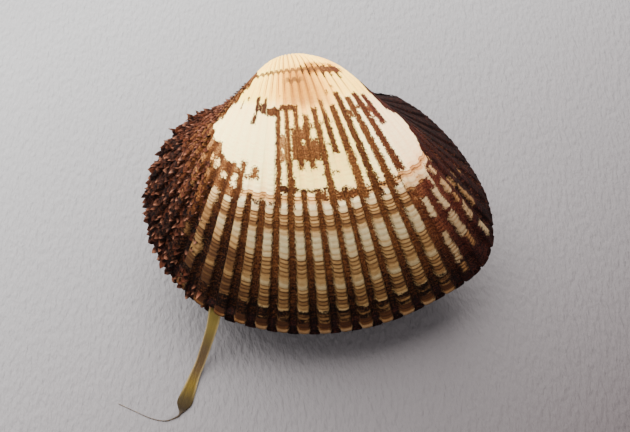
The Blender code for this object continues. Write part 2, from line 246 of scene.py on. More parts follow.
# The most that a patch's field reaches, which keeps it thin, and the slope of a bare spot's edge
PATCH_DEPTH = 0.22
SPOT_SLOPE = 0.3

# Papery scales over the front: their size, their places, and the rib where they end
SCALE_LENGTH = 1.12 * MM
SCALE_WIDTH = 1.0 * MM
SCALE_THICK = 0.05 * MM
SCALE_PITCH = 0.37
SCALE_ROW = 0.0250
SCALE_TURNS = 1.45
SCALY_RIBS = 8.4
SCALE_SINK = 0.22 * MM
# Turn and the rib where the scales end, turn and their darkness, turn and the share of narrow raised ones
SCALE_LIMIT = (
    (0.0, 9.7), (0.05, 9.6), (0.09, SCALY_RIBS), (0.4, SCALY_RIBS), (0.62, 7.0), (0.7, 5.6), (0.78, 5.3),
    (0.86, 5.6), (0.94, 5.9), (1.0, 6.2), (1.05, 6.5), (1.1, 6.9), (1.2, 7.3), (1.45, 8.4),
)
SCALE_DARK = ((0.0, 0.86), (0.3, 0.84), (0.5, 0.7), (0.7, 0.62), (1.0, 0.74), (1.2, 0.9))
SPIKY_SHARE = ((0.0, 0.22), (0.3, 0.18), (0.7, 0.12), (1.0, 0.7))
# Degrees that the tips of narrow and of broad scales stand up, and the width and paleness of narrow ones
SPIKE_LIFT = (50, 75)
LEAF_LIFT = (34, 62)
SPIKE_SLIM = 0.55
SPIKE_PALE = 0.7

# Bristles in the furrows, densest by the margin, and matted fibres over the back
BRISTLES = 2000
BRISTLE_LENGTH = 0.42 * MM
BRISTLE_THICK = 0.035 * MM
BRISTLE_RIBS = (4, 28)
BRISTLE_FROM = 0.003
BRISTLE_TURNS = 0.56
BRISTLE_LEAN = (18, 60)
FIBRES = 150
FIBRE_LENGTH = 0.085
FIBRE_THICK = 0.03 * MM
FIBRE_LEVELS = 7
FIBRE_RIB = 24.2
# Rib number and the turns that bound the bare places, where no fibre starts
BARE_LOW = ((22, 0.5), (24.2, 0.52), (25, 0.57), (26, 0.65), (27, 0.78), (28, 2.0))
BARE_HIGH = ((24.2, 1.1), (25, 0.9), (26, 0.82), (27, 0.78), (28, 0.0))

# Black strings of skin over the hinge behind the beaks, and the one that curls up
HAIRS = 40
HAIRS_FROM = np.array((9.2, 16.35, 19.2)) * MM
HAIRS_TO = np.array((15.2, 16.2, 17.7)) * MM
HAIR_THICK = 0.11 * MM
HAIR_WAVE = 0.10 * MM
CURL_FROM = np.array((10.7, 16.4, 19.1)) * MM
CURL_REACH = 0.9 * MM
CURL_TURN = 2.6

# Ligament on the flat strip between the beaks
LIGAMENT_FRONT = -11.5 * MM
LIGAMENT_BACK = 12.0 * MM
LIGAMENT_TURN = 0.52
LIGAMENT_GAP = 0.32 * MM
LIGAMENT_THICK = 0.45 * MM
LIGAMENT_CRACK = 0.05 * MM
LIGAMENT_ROWS = 90
LIGAMENT_CORNERS = 28

# Byssus: places along it in millimetres on the floor frame, with its width there; its thickness, and how
# far it sags across, as a share of its width
BYSSUS_ROUTE = (
    (-11.1, -6.9, 9.5, 1.8), (-11.9, -8.9, 8.8, 1.8), (-12.7, -10.9, 8.0, 1.8), (-13.2, -12.2, 6.5, 1.7),
    (-13.8, -13.1, 4.8, 1.6), (-14.5, -14.0, 2.8, 1.5), (-15.4, -15.4, 1.1, 1.4), (-16.3, -17.0, 0.4, 1.5),
    (-17.2, -19.1, 0.18, 1.9), (-17.8, -20.6, 0.17, 2.1), (-18.1, -21.4, 0.16, 1.3),
    (-18.4, -22.0, 0.15, 0.42), (-18.9, -22.5, 0.12, 0.22), (-20.5, -22.9, 0.08, 0.13),
    (-22.5, -22.3, 0.07, 0.1), (-24.6, -21.1, 0.06, 0.09), (-26.8, -19.8, 0.06, 0.08),
)
BYSSUS_THICK = 0.26
BYSSUS_SAG = 0.03
BYSSUS_ROWS = 220
BYSSUS_CORNERS = 28

# Floor, light and camera, fitted to the photograph
FLOOR_HALF = 1.5
FLOOR_WEAVE_TURN = math.radians(35)
FLOOR_WEAVE_STRETCH = (1.0, 0.45, 1.0)
# How fast the floor's grey darkens to the right and to the front: painted falloff of the light
PAINTED_FALLOFF_RIGHT = 4.4
PAINTED_FALLOFF_FRONT = 7.0
# Each light's place in metres, its size, its power in watts and its tint
LIGHTS = {
    "window": ((-0.20, 0.52, 0.76), 1.4, 96.0, (1.0, 0.965, 0.91)),
    "fill": ((-0.1, -0.7, 0.6), 1.0, 6.0, (1.0, 0.96, 0.93)),
}
LIGHTS_AIM = Vector((0, 0, 0.01))
ROOM_TINT = (0.92, 0.88, 0.88, 1)
ROOM_LIGHT = 1.15
CAMERA_PLACE = Vector((-10.03, -76.95, 132.93)) * MM
CAMERA_ALONG = Vector((0.0821, 0.5577, -0.826))
CAMERA_ROLL = math.radians(2.8)
CAMERA_LENS = 58.9
CAMERA_SHIFT = (0.0052, -0.0403)


# Sums on numpy arrays

def ease(low, high, x):
    """0 below low, 1 above high, smooth between them."""
    t = np.clip((x - low) / (high - low), 0, 1)
    return t * t * (3 - 2 * t)


def read(table, x):
    """The value at x of a table of pairs, straight between its rows."""
    return np.interp(x, *np.transpose(table))


def rough(x, y, seed):
    """Smooth random numbers from -1 to 1 over a plane, with one lattice point a unit."""
    table = np.random.default_rng(seed).uniform(-1, 1, (61, 61))
    left = np.floor(x).astype(int)
    low = np.floor(y).astype(int)
    across = ease(0, 1, x - left)
    up = ease(0, 1, y - low)
    bottom = table[left % 61, low % 61] * (1 - across) + table[(left + 1) % 61, low % 61] * across
    top = table[left % 61, (low + 1) % 61] * (1 - across) + table[(left + 1) % 61, (low + 1) % 61] * across
    return bottom * (1 - up) + top * up


def catmull(points, steps):
    """A smooth curve through the points, as an array, with about so many steps."""
    points = np.array(points, float)
    ends = 2 * points[[0, -1]] - points[[1, -2]]
    points = np.vstack([ends[:1], points, ends[1:]])
    spans = len(points) - 3
    t = np.linspace(0, 1, steps // spans, endpoint=False)[:, None]
    curve = []
    for i in range(spans):
        a, b, c, d = points[i : i + 4]
        curve.append(0.5 * (2 * b + (c - a) * t + (2 * a - 5 * b + 4 * c - d) * t**2
                            + (3 * b - a - 3 * c + d) * t**3))
    return np.vstack(curve + [points[-2:-1]])


def even(curve, count):
    """The curve read at equal steps of its length."""
    along = np.r_[0, np.cumsum(np.linalg.norm(np.diff(curve, axis=0), axis=1))]
    wanted = np.linspace(0, along[-1], count)
    return np.stack([np.interp(wanted, along, curve[:, i]) for i in range(curve.shape[1])], 1)


MARGIN = even(catmull(OUTLINE, OUTLINE_STEPS), OUTLINE_STEPS) * MM


def margin_at(rib):
    share = np.interp(rib, RIB_NUMBERS, RIB_SHARES)
    steps = np.linspace(0, 1, OUTLINE_STEPS)
    return np.stack([np.interp(share, steps, MARGIN[:, i]) for i in range(2)], -1)


def size_at(turn):
    return np.exp(-SHRINK * turn - YOUNG_SHRINK * (1 - np.exp(-turn / YOUNG_TURN)))


def grown(flat, turn):
    """Places that points of the margin plane had in the ring at this turn."""
    x = flat[..., 0] - POLE[0]
    y = flat[..., 1] - POLE[1]
    z = -POLE[2]
    cos = np.cos(turn)
    sin = np.sin(turn)
    size = size_at(turn)
    ring = np.broadcast_arrays(x * size, (y * cos + z * sin) * size, (z * cos - y * sin) * size)
    return np.stack(ring, -1) + POLE


def smooth_valve(rib, turn):
    """Points of the left valve without its relief. Most ribs lean to the front near the beak."""
    lean = LEAN_RIBS * (1 - np.exp(-((turn / LEAN_TURN) ** 2)))
    share = np.interp(rib, LEAN_NUMBERS, LEAN_SHARES)
    return grown(margin_at(rib - lean * share), turn)


def axes_at(rib, turn):
    """Unit vectors across the ribs, towards the margin, and straight out of the smooth left valve."""
    step = 0.01
    across = smooth_valve(rib + step, turn) - smooth_valve(rib - step, turn)
    down = smooth_valve(rib, turn - step) - smooth_valve(rib, turn)
    out = np.cross(down, across)
    across, down, out = (v / np.linalg.norm(v, axis=-1, keepdims=True) for v in (across, down, out))
    return across, down, out


def hinge_line(steps):
    """Points of the straight hinge between its two ends, from the back end to the front."""
    back, front = margin_at(np.array((RIBS, 0.0)))
    share = np.linspace(0, 1, steps + 2)[1:-1, None]
    return back + (front - back) * share


def from_top(rib, crest):
    """Distance from the middle of the nearest rib top, in rib pitches."""
    return np.abs((rib - crest + 0.5) % 1 - 0.5)


def rib_profile(rib, crest):
    return 1 - ease(CREST_HALF, 0.5 - FURROW_HALF, from_top(rib, crest))


def full_height(rib, turn):
    """Height of the rib tops, less where matted skin fills the furrows at the back."""
    return RIB_HEIGHT * size_at(turn) ** 0.8 * (1 - MATTED * ease(*MATTED_RIBS, rib))


def end_fade(rib):
    """0 at both ends of the hinge, 1 from one rib on."""
    return np.clip(np.minimum(rib, RIBS - rib), 0, 1)


def worn(rib, turn, places):
    left = np.ones_like(rib)
    for place, middle, half_ribs, half_turn, depth in places:
        far = np.hypot((rib - place) / half_ribs, (turn - middle) / half_turn)
        left = left * (1 - depth * ease(0, 1, 1.5 - far))
    return 1 - left


# Growth steps and the rows of the fine mesh

def growth_rows():
    """Rows of the mesh from the margin to the beak: turn, place in the growth step, tone and line."""
    random = np.random.default_rng(11)
    steps = list(GROWTH_STEPS)
    while steps[-1][0] < STEPPED_TURN:
        start = steps[-1][0] + STEP_TURN * random.uniform(0.7, 1.3)
        steps.append((start, float(read(HIGH_TONES, start)), 0.2))
    rows = []
    for (start, tone, line), (end, *_) in zip(steps, steps[1:]):
        # Each step darkens towards its upper end: painted shadow under the raised edge of the step above
        rows += [(start + (end - start) * share, share, tone + STEP_PAINTED_SHADOW * tone * share, 0.0)
                 for share in STEP_ROWS]
        # The last row of each step carries its line: partly a dark growth line, partly painted shadow
        rows[-1] = (*rows[-1][:3], line)
    start = steps[-1][0]
    while start < BEAK_TURN:
        rows.append((start, 0.5, float(read(HIGH_TONES, start)), 0.0))
        start += PLAIN_PITCH if start < PLAIN_TURN else BEAK_PITCH
    return np.array(rows).T


def columns(crest):
    """Rib numbers of the mesh columns over the ribs."""
    ribs = [number + crest + side * off for number in range(-1, RIBS + 2) for off in COLUMN_OFFSETS
            for side in (-1, 1)]
    return np.array([0.0] + sorted(rib for rib in ribs if 0.02 < rib < RIBS - 0.02) + [RIBS])


# Where skin lies, as fields over the valve: positive inside, in rib pitches. The ends of each ease are
# rib numbers or turns, and the last number of each rough is its seed

def box_field(rib, turn, rib_from, rib_to, turn_from, turn_to):
    sides = np.minimum(rib - rib_from, rib_to - rib)
    ends = np.minimum(turn - turn_from, turn_to - turn) * PITCHES_A_TURN
    return np.minimum(sides, ends)


def warped(rib, turn, seed):
    """The place with small ragged shifts, so that edges and ends don't run straight."""
    along = turn * PITCHES_A_TURN
    rib = rib + 0.07 * rough(rib * 2.2, along * 2.8, seed) + 0.04 * rough(rib * 5, along * 9, seed + 1)
    shift = 0.10 * rough(rib * 3.1, along * 1.7, seed + 2) + 0.10 * rough(rib * 7, along * 3, seed + 3)
    return rib, (along + shift) / PITCHES_A_TURN


def left_skin(rib, turn, crest):
    """Cover and darkness of the left valve's skin."""
    wavy_rib, wavy_turn = warped(rib, turn, 20)
    edge = read(SKIN_EDGE_LEFT, wavy_rib)
    below = (edge - wavy_turn) * PITCHES_A_TURN
    front = read(FRONT_EDGE_LEFT, wavy_turn) - wavy_rib
    back = wavy_rib - read(BACK_EDGE_LEFT, wavy_turn)
    lower = np.minimum(below, np.maximum(top_gap(rib, crest), low_cover(rib, turn)))
    ends = np.maximum(np.minimum(front, 1), np.minimum(back, 1))
    ends = np.where(turn > 0.55, ends, -1)
    cover = np.maximum(lower, ends)
    scaly = ease(12.0, 10.0, rib) * ease(0.15, 0.4, turn)
    # Painted shade: the furrows under the scales are darker than the rib tops
    furrow_shade = ease(0.10, 0.42, from_top(rib, crest)) - 0.55
    dark = low_darkness(rib, turn) + FURROW_PAINTED_SHADE * furrow_shade * scaly
    for middle, half, turn_from, turn_to, tone in STRIPS_LEFT:
        field = box_field(wavy_rib, wavy_turn, middle - half, middle + half, turn_from, turn_to)
        dark = np.where(field > np.maximum(cover, -0.1), tone, dark)
        cover = np.maximum(cover, field)
    for rib_from, rib_to, turn_from, turn_to, tone in PATCHES_LEFT:
        field = box_field(wavy_rib, wavy_turn, rib_from, rib_to, turn_from, turn_to)
        field = np.minimum(field, PATCH_DEPTH)
        dark = np.where(field > np.maximum(cover, -0.1), tone, dark)
        cover = np.maximum(cover, field)
    for middle, middle_turn, half, half_turn in SPOTS_LEFT:
        far = np.hypot((wavy_rib - middle) / half, (wavy_turn - middle_turn) / half_turn)
        cover = np.minimum(cover, (far - 1) * SPOT_SLOPE)
    return np.minimum(cover, -marks(rib, turn)[0]), dark


def right_skin(rib, turn, crest):
    """Cover and darkness of the right valve's skin, which has the same plan without the stains."""
    wavy_rib, wavy_turn = warped(rib, turn, 50)
    edge = 0.60 + 0.05 * rough(rib * 0.5, rib * 0, 61) + 0.04 * rough(rib * 1.1, rib * 0, 62)
    below = (edge - wavy_turn) * PITCHES_A_TURN
    front = read(FRONT_EDGE_LEFT, wavy_turn) - wavy_rib
    back = wavy_rib - read(BACK_EDGE_LEFT, wavy_turn)
    dark_edge = (0.075 - turn) * PITCHES_A_TURN
    lower = np.maximum(np.maximum(top_gap(rib, crest), low_cover(rib, turn)), dark_edge)
    lower = np.minimum(below, lower)
    strip_end = 1.0 + 0.25 * rough(np.floor(rib + 1 - crest) * 1.7, rib * 0, 63)
    strips = np.minimum(from_top(rib, crest) - 0.30, (strip_end - wavy_turn) * PITCHES_A_TURN)
    ends = np.where(turn > 0.55, np.maximum(np.minimum(front, 1), np.minimum(back, 1)), -1)
    cover = np.maximum(np.maximum(lower, ends), strips)
    return cover, low_darkness(rib, turn)


def top_gap(rib, crest):
    """How far a place is outside the bare band on the nearest rib top."""
    return from_top(rib + TOP_SHIFT, crest) - read(TOP_HALVES, rib)


def low_cover(rib, turn):
    """Where the skin crosses the rib tops too: at both ends and in a dark band by the margin."""
    front = (read(COVERED_FRONT, turn) - rib) * 0.8 + 0.15 * rough(rib * 1.3, turn * 40, 31)
    back = (rib - COVERED_BACK) * 0.8 + 0.15 * rough(rib * 2.0, turn * 22, 32)
    wave = 0.003 * rough(rib * 1.7, rib * 0, 33)
    upper, lower = (half - np.abs(turn - middle + wave) for middle, half in COVERED_BANDS)
    front_band = 0.030 - np.abs(turn - 0.070) - 0.03 * ease(11.5, 14.5, rib)
    band = np.maximum(np.maximum(upper, lower), front_band) * PITCHES_A_TURN
    band = band - 0.03 + 0.12 * rough(rib * 3, turn * 150, 34)
    return np.maximum(np.maximum(front, back), band)


def low_darkness(rib, turn):
    """Darkness of the skin: near black by the margin, brown higher up, lighter on the old front."""
    tables = (MIDDLE_DARK, FRONT_DARK, BACK_DARK, FAR_BACK_DARK)
    base, front, back, far_back = (read(table, turn) for table in tables)
    far_back = far_back + 0.24 * ease(27.2, 29.0, rib) * (1 - 0.7 * ease(0.5, 0.8, turn))
    back = back + (far_back - back) * ease(24.0, 25.5, rib)
    dark = base + (front - base) * ease(13.0, 9.0, rib) + (back - base) * ease(20.5, 23.0, rib)
    return dark + 0.08 * rough(rib * 2, turn * 30, 35)


def marks(rib, turn):
    """The bare marks of the covered ends, as a field that is positive inside, and their tone."""
    wavy_rib, wavy_turn = warped(rib, turn, 90)
    inside = np.full_like(rib, -1.0)
    tone = np.zeros_like(rib)
    for rib_from, rib_to, turn_from, turn_to, shade in MARKS_LEFT:
        field = box_field(wavy_rib, wavy_turn, rib_from, rib_to, turn_from, turn_to)
        tone = np.where(field > np.maximum(inside, -0.2), shade, tone)
        inside = np.maximum(inside, field)
    return inside, tone


def redness(rib, turn):
    ends = np.maximum(ease(20.5, 23.5, rib), 0.55 * ease(9.0, 5.0, rib) * ease(0.7, 0.3, turn))
    return np.maximum(ends, ease(0.05, 0.035, turn))


def creaminess(rib, turn):
    """How warm the bare shell is: full on the umbo, part on the middle and front below it."""
    middle = ease(0.5, 0.62, turn) * ease(23.0, 19.0, rib) * (0.42 + 0.36 * ease(12.0, 15.0, rib))
    return np.maximum(middle, ease(1.0, 1.15, turn))


def top_tone(rib, turn, tone, crest):
    """Tone of bare shell: that of its growth step, with what the ribs, the umbo and the ends change."""
    random = np.random.default_rng(77).uniform(-1, 1, (RIBS + 3, 160))
    own = random[np.floor(rib).astype(int) + 1, np.clip(turn * 60, 0, 159).astype(int)]
    tone = tone + 0.06 * own * ease(0.6, 0.5, turn)
    tone = tone + 0.32 * ease(12.4, 10.0, rib) * ease(0.39, 0.33, turn)
    umbo = ease(1.0, 1.12, turn) * ease(1.6, 1.42, turn)
    middle = np.exp(-(((rib - 16.2) / 4.2) ** 2))
    tone = tone + umbo * (0.55 * middle - 0.33)
    striped = ease(13.0, 14.0, rib) * ease(20.5, 19.0, rib)
    tone = tone + striped * 0.07 * ease(0.62, 0.66, turn)
    tone = tone + striped * 0.12 * ease(0.85, 1.0, turn) * ease(1.2, 1.05, turn)
    tone = tone + 0.12 * ease(0.40, 0.48, turn) * ease(0.62, 0.56, turn) * ease(10.0, 12.0, rib)
    side = ease(21.0, 23.5, rib) * ease(0.45, 0.55, turn)
    stroked = ease(17.0, 18.5, rib) * ease(24.0, 22.5, rib)
    tone = tone + 0.42 * stroked * ease(1.36, 1.42, turn) * ease(1.62, 1.54, turn)
    # The flanks of the rib tops by the furrows are darker: partly tan lines where the ribs meet, partly
    # painted shade
    tone = tone - 0.2 * side * umbo + 0.10 * ease(0.28, 0.46, from_top(rib, crest))
    inside, shade = marks(rib, turn)
    return np.clip(np.where(inside > -0.2, shade, tone), 0, 1)


# Meshes

def placed(points):
    """Points of the shell's axes, put where the shell lies."""
    turn = np.array(LIE.to_3x3())
    return points @ turn.T + np.array(LIE.translation)


def set_fields(mesh, fields):
    for name, values in fields.items():
        layer = mesh.attributes.new(name, "FLOAT", "POINT")
        layer.data.foreach_set("value", np.ascontiguousarray(values, np.float32).ravel())


def wrapped(name, rings, fields, growth):
    """A closed mesh over rings of points [ring, corner, axis], whose end rings are drawn to a point."""
    rings = rings.copy()
    for end in (0, -1):
        rings[end] = rings[end].mean(0)
    rows, corners = rings.shape[:2]
    closed = [np.concatenate([field, field[:, :1]], 1) for field in [rings, *fields.values()]]
    bm = bmesh.new()
    bmesh.ops.create_grid(bm, x_segments=corners, y_segments=rows - 1, size=1)
    mesh = bpy.data.meshes.new(name)
    bm.to_mesh(mesh)
    bm.free()
    mesh.vertices.foreach_set("co", np.ascontiguousarray(closed[0], np.float32).ravel())
    set_fields(mesh, dict(zip(fields, closed[1:])))
    corner_of = np.empty(len(mesh.loops), np.int32)
    mesh.loops.foreach_get("vertex_index", corner_of)
    layer = mesh.uv_layers.new(name="growth")
    layer.data.foreach_set("uv", growth.reshape(-1, 2)[corner_of].astype(np.float32).ravel())
    weld(mesh, rows, corners + 1)
    return finished(name, mesh)


def weld(mesh, rows, corners):
    """Joins the seam and the two drawn ends, and turns the faces outwards."""
    bm = bmesh.new()
    bm.from_mesh(mesh)
    border = [v for v in bm.verts
              if v.index % corners in (0, corners - 1) or v.index // corners in (0, rows - 1)]
    bmesh.ops.remove_doubles(bm, verts=border, dist=1e-8)
    bmesh.ops.recalc_face_normals(bm, faces=bm.faces[:])
    bm.to_mesh(mesh)
    bm.free()


def finished(name, mesh):
    mesh.shade_smooth()
    piece = bpy.data.objects.new(name, mesh)
    bpy.context.scene.collection.objects.link(piece)
    return piece


def copies(name, template, places, fields):
    """One mesh of many copies of a small bmesh, whose corners are at places [copy, corner, axis]."""
    count, corners = places.shape[:2]
    faces = [[vert.index for vert in face.verts] for face in template.faces]
    template.free()
    mesh = bpy.data.meshes.new(name)
    mesh.from_pydata(
        places.reshape(-1, 3).tolist(), [],
        [[vert + corners * copy for vert in face] for copy in range(count) for face in faces],
    )
    set_fields(mesh, fields)
    return finished(name, mesh)


# The two valves

def valve_points(crest, worn_places, hinge_flat):
    """Rows of points over the outside of a left-handed valve, with its rib numbers and turns."""
    rows, shares, tones, lines = growth_rows()
    ribs = columns(crest)
    rib, turn = np.meshgrid(ribs, rows)
    share, tone, line = (np.repeat(values[:, None], len(ribs), 1) for values in (shares, tones, lines))
    profile = rib_profile(rib, crest)
    free = ease(0.0, 0.05, turn) * ease(STEPPED_TURN + 0.2, STEPPED_TURN, turn)
    shift = LINE_WAVES[0] * rough(rib * 0.9, rib * 0, 3) + LINE_WAVES[1] * rough(rib * 2.7, turn * 9, 4)
    turn = turn + free * (shift - CREST_BEND * profile * (1 - (from_top(rib, crest) / 0.5) ** 2))
    size = size_at(turn)
    stepped = ease(STEPPED_TURN + 0.05, STEPPED_TURN - 0.25, turn)
    wear = worn(rib, turn, worn_places)
    crown = 1 - 0.12 * (from_top(rib, crest) / CREST_HALF) ** 2
    height = full_height(rib, turn) * profile * np.minimum(crown, 1) * (1 - wear)
    lamella = LAMELLA * size**0.5 * (1 - share) * stepped * (0.35 + 0.65 * profile) * (1 - 0.7 * wear)
    bumps = BUMPS[0] * rough(rib * 4, turn * 90, 5) + BUMPS[1] * rough(rib * 9, turn * 160, 6)
    out = axes_at(rib, turn)[2]
    points = smooth_valve(rib, turn) + out * ((height + lamella + bumps) * end_fade(rib))[..., None]
    edge = ease(0.05, 0.0, turn)
    points[..., 2] += edge * TOOTH * np.cos(2 * math.pi * (rib - crest + 0.5)) * end_fade(rib)
    points[..., 2] += edge * gape(rib)
    hinge = grown(hinge_flat[None], rows[:, None])
    return np.concatenate([points, hinge], 1), rib, turn, tone, line


def gape(rib):
    """How far each margin stands back from the other to let the byssus out."""
    return GAPE_RISE * np.clip(1.4 * (1 - ((rib - GAPE_RIB) / GAPE_RIBS) ** 2), 0, 1)


def inside_points(ribs, hinge_flat):
    """Rows of points over the smooth inside, from the margin in."""
    flat = np.vstack([margin_at(ribs), hinge_flat])
    arm = flat - WALL_CENTRE
    reach = np.linalg.norm(arm, axis=1, keepdims=True)
    rows = [grown(WALL_CENTRE + arm * (1 - WALL / size_at(turn) / reach), turn) for turn in INNER_TURNS]
    rows[0][: len(ribs), 2] += gape(ribs)
    return np.array(rows)


def hinge_field(field, value):
    """The field with the flat hinge area's columns added."""
    return np.concatenate([field, np.full((len(field), HINGE_COLUMNS), value)], 1)


def make_valve(name, crest, skin, worn_places, side):
    """A fine valve: ribs, growth steps and the fields that its material reads."""
    hinge_flat = hinge_line(HINGE_COLUMNS)
    points, rib, turn, tone, line = valve_points(crest, worn_places, hinge_flat)
    cover, dark = skin(rib, turn, crest)
    fields = {
        "skin": hinge_field(np.clip(0.5 + cover * 1.5, 0, 1), 1.0),
        "dark": hinge_field(np.clip(dark, 0, 1), 0.8),
        "red": hinge_field(redness(rib, turn), 0.3),
        "tone": hinge_field(top_tone(rib, turn, tone, crest), 0.7),
        "line": hinge_field(line, 0.0),
        "cream": hinge_field(creaminess(rib, turn), 0.5),
        # painted shade over the lower part's bare shell, by turn
        "dull": hinge_field(read(LOW_PAINTED_SHADE, turn), 0.5),
        "thread": hinge_field(ease(1.05, 1.30, turn) * ease(8.0, 11.0, rib) * ease(24.0, 22.0, rib), 0.0),
    }
    inner = inside_points(columns(crest), hinge_flat)
    lip = (points[0] + inner[0]) / 2
    rings = np.concatenate([points[::-1], lip[None], inner])
    added = len(inner) + 1
    fields = {
        key: np.concatenate([
            field[::-1], field[:1], field[:1], np.full((added - 2, field.shape[1]), INSIDE.get(key, 0.0))])
        for key, field in fields.items()
    }
    along = np.r_[turn[:, 0][::-1], -np.arange(1, added + 1) * INNER_TURN] * PITCHES_A_TURN
    across = np.r_[columns(crest), RIBS + np.linspace(0, HINGE_PITCHES, HINGE_COLUMNS + 2)[1:]] + 0.5 - crest
    growth = np.stack(np.meshgrid(across, along), -1)
    rings[..., 2] += VALVE_GAP / 2
    rings[..., 2] *= side
    rings = placed(rings)
    rings[..., 2] = np.maximum(rings[..., 2], 0)
    return wrapped(name, rings, fields, growth)


# Scales, bristles and fibres

def surface_height(rib, turn, crest):
    """Height of the ribs over the smooth valve, for what stands on them."""
    return full_height(rib, turn) * rib_profile(rib, crest) * end_fade(rib)


def standing(rib, turn, crest):
    """Points on a valve, and the three directions there."""
    across, down, out = axes_at(rib, turn)
    base = smooth_valve(rib, turn) + out * surface_height(rib, turn, crest)[:, None]
    base[:, 2] += VALVE_GAP / 2
    return base, across, down, out


def turned(a, b, angle):
    """Two square directions turned in their plane, from a towards b."""
    cos = np.cos(angle)[:, None]
    sin = np.sin(angle)[:, None]
    return a * cos + b * sin, b * cos - a * sin


def on_side(points, side):
    """Points of the left valve, or of the right one where side is -1, put where the shell lies."""
    points = placed(points * np.array((1, 1, side)))
    points[..., 2] = np.maximum(points[..., 2], 0)
    return points


def copy_fields(count, corners, shade, tip, rim, pale):
    """The fields of so many copies, from arrays that hold them by copy, by corner or by both."""
    given = {"shade": shade, "tip": tip, "rim": rim, "pale": pale}
    return {key: np.broadcast_to(values, (count, corners)) for key, values in given.items()}


def stand(name, bm, points, side, fields):
    """Copies on one valve, with their faces outwards on the mirrored one too."""
    piece = copies(name, bm, on_side(points, side), fields)
    if side < 0:
        piece.data.flip_normals()
    return piece


def leaf_template():
    """A thin closed sheet, with its corners as an array: from -1 to 1 across and along."""
    bm = bmesh.new()
    bmesh.ops.create_grid(bm, x_segments=4, y_segments=4, size=1)
    bmesh.ops.solidify(bm, geom=bm.faces[:], thickness=1)
    bmesh.ops.recalc_face_normals(bm, faces=bm.faces[:])
    bm.verts.index_update()
    return bm, np.array([vert.co for vert in bm.verts])


def strand_template(levels):
    """A closed three-sided tapering strand, with its corners as an array, from 0 to 1 along Z."""
    bm = bmesh.new()
    bmesh.ops.create_cone(bm, cap_ends=True, segments=3, radius1=1, radius2=0.25, depth=1)
    long_edges = [edge for edge in bm.edges if abs(edge.verts[0].co.z - edge.verts[1].co.z) > 0.5]
    if levels > 2:
        bmesh.ops.subdivide_edges(bm, edges=long_edges, cuts=levels - 2)
    bmesh.ops.triangulate(bm, faces=[face for face in bm.faces if len(face.verts) > 4])
    bmesh.ops.recalc_face_normals(bm, faces=bm.faces[:])
    bm.verts.index_update()
    corners = np.array([vert.co for vert in bm.verts])
    corners[:, 2] += 0.5
    return bm, corners


def scale_places(seed):
    """Rib numbers and turns of the scales: staggered rows that thin out towards the bare ribs."""
    random = np.random.default_rng(seed)
    places = []
    for row, turn in enumerate(np.arange(0.004, SCALE_TURNS, SCALE_ROW)):
        pitch = SCALE_PITCH / float(size_at(turn)) ** 0.55
        for rib in np.arange(0.35 + pitch * 0.5 * (row % 2), 11.0, pitch):
            places.append((rib, turn))
    places = np.array(places)
    rib = places[:, 0] + random.normal(0, 0.06, len(places))
    turn = places[:, 1] + random.normal(0, 0.005, len(places))
    chance = ease(0.9, -0.5, rib - read(SCALE_LIMIT, turn) + 0.3) * ease(0.0, 0.06, size_at(turn) - 0.25)
    kept = random.random(len(rib)) < chance
    return np.maximum(rib[kept], 0.1), np.maximum(turn[kept], 0.003), random


def make_scales(name, crest, side, seed):
    """Cupped papery leaves that overlap towards the margin, with raised tips."""
    rib, turn, random = scale_places(seed)
    count = len(rib)
    bm, corner = leaf_template()
    base, across, down, out = standing(rib, turn, crest)
    yaw = random.normal(0, 0.28, count)
    spiky = random.random(count) < read(SPIKY_SHARE, turn)
    lift = np.where(spiky, random.uniform(*SPIKE_LIFT, count), random.uniform(*LEAF_LIFT, count))
    size = size_at(turn) ** 0.55 * random.uniform(0.7, 1.15, count) * (1 - 0.3 * ease(0.9, 1.1, turn))
    slim = np.where(spiky, SPIKE_SLIM, 1.0)[:, None]
    base = base - out * (SCALE_SINK * size)[:, None]
    down, across = turned(down, across, yaw)
    down, out = turned(down, out, np.radians(lift))
    along = (corner[:, 1] + 1) / 2
    taper = np.clip(1 - ((along - 0.3) / 0.71).clip(0) ** 2.2, 0.03, 1)
    half = 0.5 * slim * np.where(along < 0.3, 0.75 + 0.25 * along / 0.3, taper)
    cup = random.uniform(0.3, 0.8, count)[:, None]
    curl = random.uniform(-0.5, 0.2, count)[:, None]
    skew = random.normal(0, 0.12, count)[:, None]
    x = (corner[:, 0] * half + skew * along**2) * SCALE_WIDTH
    y = (along - 0.15) * (1 + 0.12 * corner[:, 0] * skew) * (1.9 - 0.9 * slim) * SCALE_LENGTH
    z = (cup * corner[:, 0] ** 2 * half + curl * along**2 * 0.6) * SCALE_WIDTH + corner[:, 2] * SCALE_THICK
    points = base[:, None] + size[:, None, None] * (
        across[:, None] * x[..., None] + down[:, None] * y[..., None] + out[:, None] * z[..., None])
    shade = np.clip(read(SCALE_DARK, turn) + random.normal(0, 0.12, count), 0.05, 0.98)
    # tip and rim drive the painted light on the tips and rims and the painted shade at the roots; pale marks
    # tips that are partly paler in their own colour, partly painted highlight
    tip = along * np.maximum(0, 1 - 0.3 * corner[:, 0] ** 2)
    rim = np.maximum(np.abs(corner[:, 0]), 2 * along - 1)
    pale = np.maximum(ease(0.55, 1.0, random.random(count)), SPIKE_PALE * spiky)
    fields = copy_fields(count, len(corner), shade[:, None], tip, rim, pale[:, None])
    return stand(name, bm, points, side, fields)


